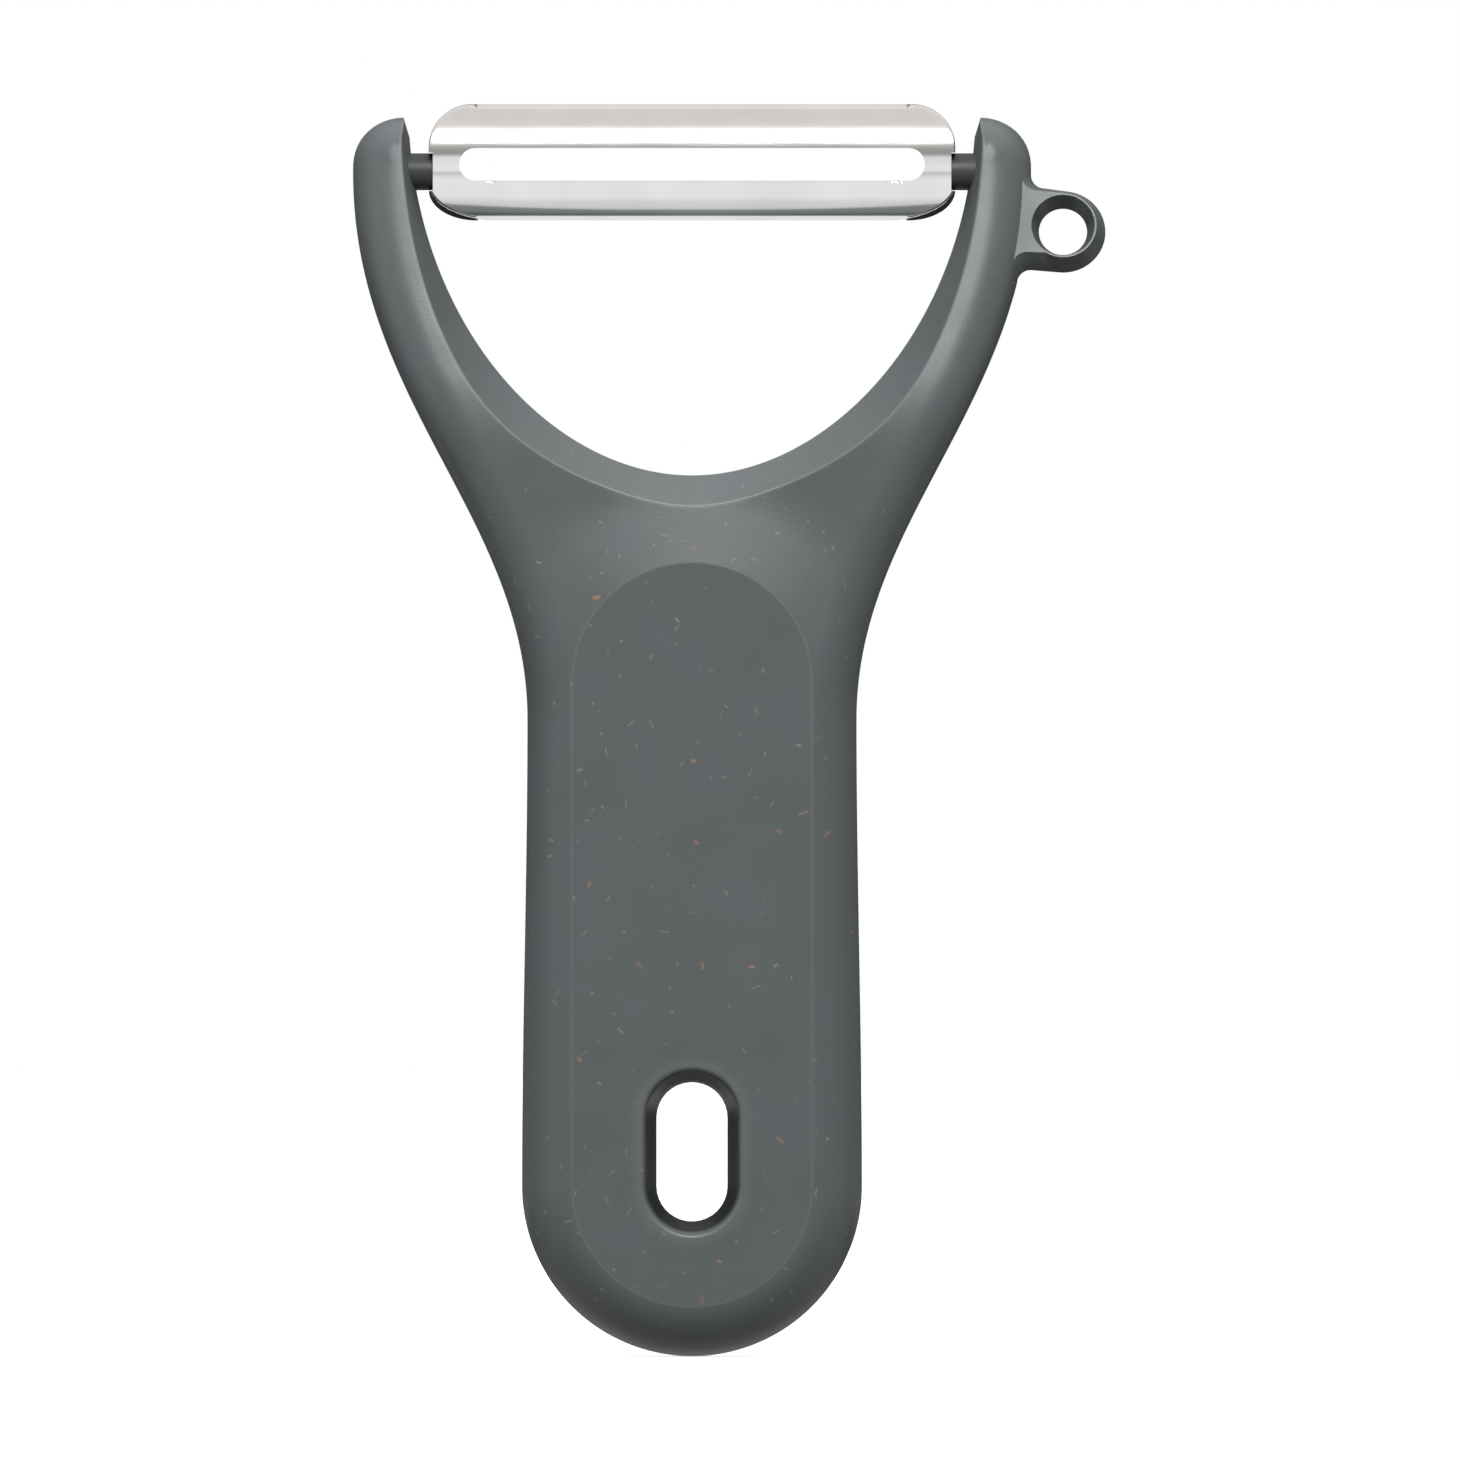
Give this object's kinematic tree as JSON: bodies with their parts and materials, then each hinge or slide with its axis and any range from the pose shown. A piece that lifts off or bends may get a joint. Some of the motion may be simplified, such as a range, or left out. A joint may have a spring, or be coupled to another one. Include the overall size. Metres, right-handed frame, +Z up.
{
  "type": "vegetable peeler",
  "caption": "Y-shaped vegetable peeler with a swivelling slotted steel blade between its arms, a flat fibre-flecked grip, a head that leans back from it, a hanging slot and an eye-remover ring.",
  "frame": {"origin": "middle of the hanging slot, on the grip's mid-plane", "axes": "+Z runs up the handle to the blade, +X towards the arm with the ring, +Y towards the back; the blade is convex towards -Y"},
  "size_m": [0.0828, 0.0195, 0.1379],
  "materials": {
    "handle_plastic": "fine matte moulded plastic, blue-grey, with short tan, orange and pale fibre flecks in the grip",
    "blade_steel": "rolled stainless sheet, polished, with bright ground cutting edges",
    "trunnion_plastic": "plain dark grey moulded plastic"
  },
  "bodies": {
    "handle_body": {"handle": "handle_plastic"},
    "blade_unit": {"blade": "blade_steel", "trunnion_left": "trunnion_plastic", "trunnion_right": "trunnion_plastic"}
  },
  "joints": [
    {"name": "blade_swivel", "type": "hinge", "parent": "handle_body", "child": "blade_unit", "pos_m": [0, 0.0078, 0.1079], "axis": [1, 0, 0], "range_deg": [-40, 40]}
  ]
}
